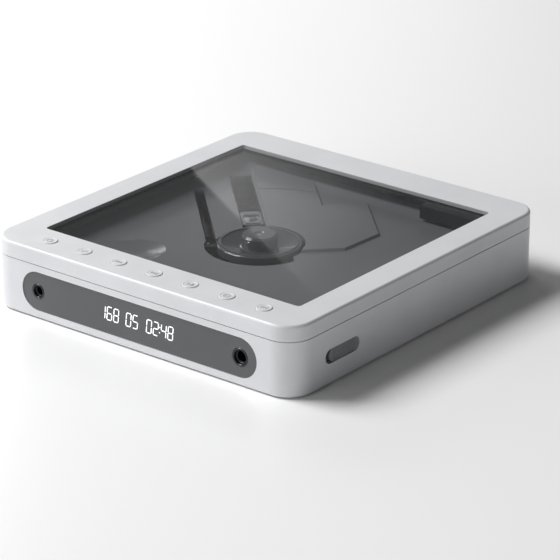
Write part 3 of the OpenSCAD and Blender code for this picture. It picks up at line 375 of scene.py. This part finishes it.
def bar(x1, y1, x2, y2):
    """A straight line with square ends."""
    a, b = Vector((x1, y1)), Vector((x2, y2))
    along = (b - a).normalized()
    side = Vector((-along.y, along.x)) * LINE / 2
    return [[a - side, b - side, b + side, a + side]]


def arrow(x, size, way):
    """A solid arrow head that points along x; way is 1 or -1."""
    return [[Vector((x - way * size / 2, -size * 0.6)), Vector((x + way * size / 2, 0)),
             Vector((x - way * size / 2, size * 0.6))][::way]]


sign_grey, tree, shader = finish("printed_sign_grey", "#9DA0A4", 0.45)
grain(tree, shader, size_mm=0.35, height_mm=0.004)
SIGNS = [
    # On and off
    ring(125, 415) + bar(0, 0.2, 0, 1.6),
    # Order of play
    bar(-1.5, 0.5, -0.4, -0.6) + bar(-0.4, -0.6, 0.7, 0.5) + bar(0.4, 0.5, 1.5, 0.5),
    # Back
    bar(-1.5, -0.8, -1.5, 0.8) + arrow(-0.7, HEAD, -1) + arrow(0.6, HEAD, -1),
    # On to the next
    arrow(-0.8, HEAD, 1) + arrow(0.5, HEAD, 1) + bar(1.4, -0.8, 1.4, 0.8),
    # Play and pause
    arrow(-0.5, 1.25 * HEAD, 1) + bar(0.7, -0.9, 0.7, 0.9) + bar(1.3, -0.9, 1.3, 0.9),
    # Softer
    ring(0, 360) + bar(-0.5, 0, 0.5, 0),
    # Tone
    bar(-1.2, -0.9, -1.2, 0.9) + bar(0, -0.9, 0, 0.9) + bar(1.2, -0.9, 1.2, 0.9),
]
for i, sign in enumerate(SIGNS, start=1):
    low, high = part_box(f"key_{i}")
    middle = (low + high) / 2
    piece = plates(f"key_{i}_sign", sign,
                   lambda p: Vector((middle.x + p.x * MM, middle.y + p.y * MM, high.z - SIGN_SUNK)),
                   Vector((0, 0, SIGN_HIGH)))
    wear(sign_grey, piece)
    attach(piece, f"key_{i}")

# Floor: a broad sheet of white acrylic that the player lies on. It has a faint gloss, which
# mirrors the foot of the case a little.
FLOOR_HALF = 4.0
floor_mesh = bpy.data.meshes.new("floor")
floor_mesh.from_pydata([(x * FLOOR_HALF, y * FLOOR_HALF, 0)
                        for x, y in ((-1, -1), (1, -1), (1, 1), (-1, 1))], [], [(0, 1, 2, 3)])
floor = bpy.data.objects.new("floor", floor_mesh)
bpy.context.scene.collection.objects.link(floor)
floor_white, tree, shader = finish("white_acrylic_floor", "#FAFAFA", 0.25, Specular_IOR_Level=0.25)
wear(floor_white, floor)

# Room: a plain white surround, nearly unlit. What is mirrored or looked through sees it a good
# deal brighter than what it adds to the light on the object.
world = bpy.data.worlds.new("studio")
bpy.context.scene.world = world
world.use_nodes = True
tree = world.node_tree
path = add(tree, "ShaderNodeLightPath")
seen = add(tree, "ShaderNodeMath", operation="MAXIMUM",
           inputs={0: path.outputs["Is Camera Ray"], 1: path.outputs["Is Glossy Ray"]})
seen = add(tree, "ShaderNodeMath", operation="MAXIMUM",
           inputs={0: seen.outputs[0], 1: path.outputs["Is Transmission Ray"]})
level = add(tree, "ShaderNodeMapRange", {"Value": seen.outputs[0], "To Min": 0.02, "To Max": 0.32})
background = tree.nodes["Background"]
background.inputs["Color"].default_value = (1, 1, 1, 1)
tree.links.new(level.outputs["Result"], background.inputs["Strength"])

# Lamps: four soft boxes on stands. The large one at the left is the main light, the one in front
# lifts the white face, and the strip at the right and the box at the back keep the sides clear.
MIDDLE = Vector((0, 0, 0.015))


def softbox(name, direction, distance, width, height, watts):
    """A soft lamp on a stand, turned towards the middle of the object."""
    lamp = bpy.data.lights.new(name, "AREA")
    lamp.shape, lamp.size, lamp.size_y, lamp.energy = "RECTANGLE", width, height, watts
    stand = bpy.data.objects.new(name, lamp)
    stand.location = MIDDLE + Vector(direction).normalized() * distance
    stand.rotation_euler = (MIDDLE - stand.location).to_track_quat("-Z", "Y").to_euler()
    stand.visible_camera = False
    bpy.context.scene.collection.objects.link(stand)


softbox("softbox_left", (-0.60, -0.28, 0.75), distance=2.2, width=1.03, height=1.03, watts=54)
softbox("softbox_front", (-0.17, -0.93, 0.26), distance=1.8, width=1.6, height=0.5, watts=9.8)
softbox("strip_right", (0.97, -0.05, 0.2), distance=1.4, width=0.9, height=0.2, watts=1.0)
softbox("softbox_back", (-0.85, 0.372, 0.38), distance=1.2, width=0.6, height=0.35, watts=3)

# Card: a dim glowing sheet at the back left, turned so that the pane mirrors its slanting edge as
# a line across the window. It glows most at its lower end and along that edge.
CARD_LONG, CARD_WIDE = 0.35, 0.18
CARD_PLACE = Vector((-0.66, 1.058, 0.425))
card_edge = Vector((0.706, 0.239, 0.666))
card_away = Vector((-0.589, 0.721, 0.365))
card_mesh = bpy.data.meshes.new("card_back")
card_mesh.from_pydata([(-CARD_LONG, -CARD_WIDE, 0), (CARD_LONG, -CARD_WIDE, 0),
                       (CARD_LONG, CARD_WIDE, 0), (-CARD_LONG, CARD_WIDE, 0)], [], [(0, 3, 2, 1)])
card = bpy.data.objects.new("card_back", card_mesh)
card.visible_camera = False
bpy.context.scene.collection.objects.link(card)
turned = Matrix((card_edge, card_away.cross(card_edge), card_away)).transposed().to_4x4()
card.matrix_world = Matrix.Translation(CARD_PLACE) @ turned
card_glow, tree, shader = finish("glowing_card", "#000000", 0.5, Emission_Color=(1, 1, 1, 1))
place = add(tree, "ShaderNodeTexCoord").outputs["Object"]
split = add(tree, "ShaderNodeSeparateXYZ", {0: place})
along = add(tree, "ShaderNodeMapRange", {"Value": split.outputs["X"], "From Min": -0.12,
                                         "From Max": 0.02, "To Min": 1.9, "To Max": 0.4})
across = add(tree, "ShaderNodeMapRange", {"Value": split.outputs["Y"], "From Min": -CARD_WIDE,
                                          "From Max": -0.07, "To Min": 1.0, "To Max": 0.35})
glow = add(tree, "ShaderNodeMath", {0: along.outputs["Result"], 1: across.outputs["Result"]},
           operation="MULTIPLY")
tree.links.new(glow.outputs[0], shader.inputs["Emission Strength"])
wear(card_glow, card)

# Camera: the long lens of the photograph, above the front right corner. Its place and aim were
# worked out from the edges of the case.
camera = bpy.data.cameras.new("camera")
camera.sensor_width, camera.lens = 36.0, 193.95
camera.clip_start, camera.clip_end = 0.05, 20
camera_stand = bpy.data.objects.new("camera", camera)
camera_stand.location = (0.71222, -0.88425, 0.47364)
camera_aim = Vector((0.04287, -0.04603, 0.030))
camera_stand.rotation_euler = (camera_aim - camera_stand.location).to_track_quat("-Z", "Y").to_euler()
bpy.context.scene.collection.objects.link(camera_stand)
bpy.context.scene.camera = camera_stand
bpy.context.scene.view_settings.view_transform = "Standard"
